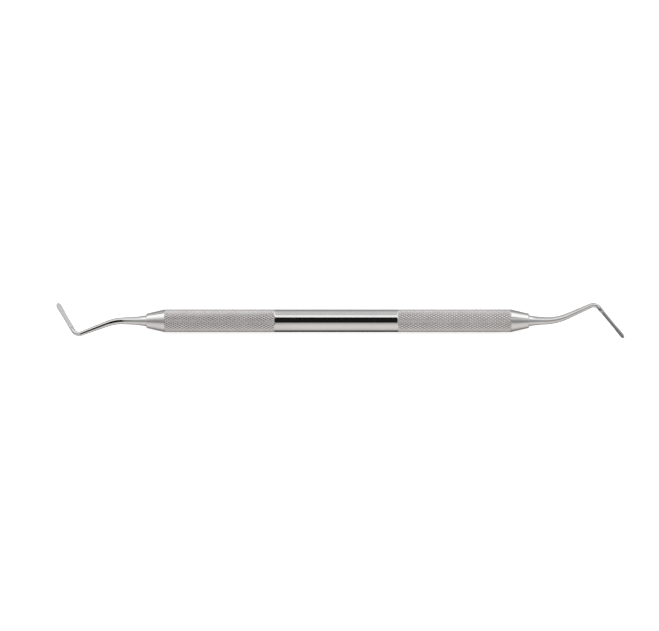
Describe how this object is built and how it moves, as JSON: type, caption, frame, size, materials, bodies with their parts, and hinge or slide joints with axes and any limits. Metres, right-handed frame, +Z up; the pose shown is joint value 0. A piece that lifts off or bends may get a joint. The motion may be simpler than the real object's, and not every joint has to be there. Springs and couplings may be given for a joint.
{
  "type": "gingival cord packer",
  "caption": "Double-ended dental hand instrument: a round hollow steel handle, knurled but for a polished middle band, with conical noses and slim bent tips ending in flat rounded blades.",
  "frame": {"origin": "under the middle of the handle, on the surface that the handle rests on", "axes": "+X along the handle, +Y level and across it, +Z up. The plane of the bent tips is rolled 30 degrees about X, the +Y side down, as the instrument lies"},
  "size_m": [0.1596, 0.0099, 0.0063],
  "materials": {
    "knurled_steel": "diamond knurl, satin, polished on the middle band",
    "polished_steel": "turned and polished stainless steel",
    "tip_steel": "ground and hand-polished stainless steel",
    "braze_alloy": "silver braze alloy, as cooled"
  },
  "bodies": {
    "root": {"grip_tube": "knurled_steel", "left_end_cone": "polished_steel", "left_cone_braze_ring": "braze_alloy", "left_tip": "tip_steel", "left_tip_braze_ring": "braze_alloy", "right_end_cone": "polished_steel", "right_cone_braze_ring": "braze_alloy", "right_tip": "tip_steel", "right_tip_braze_ring": "braze_alloy"}
  },
  "joints": []
}
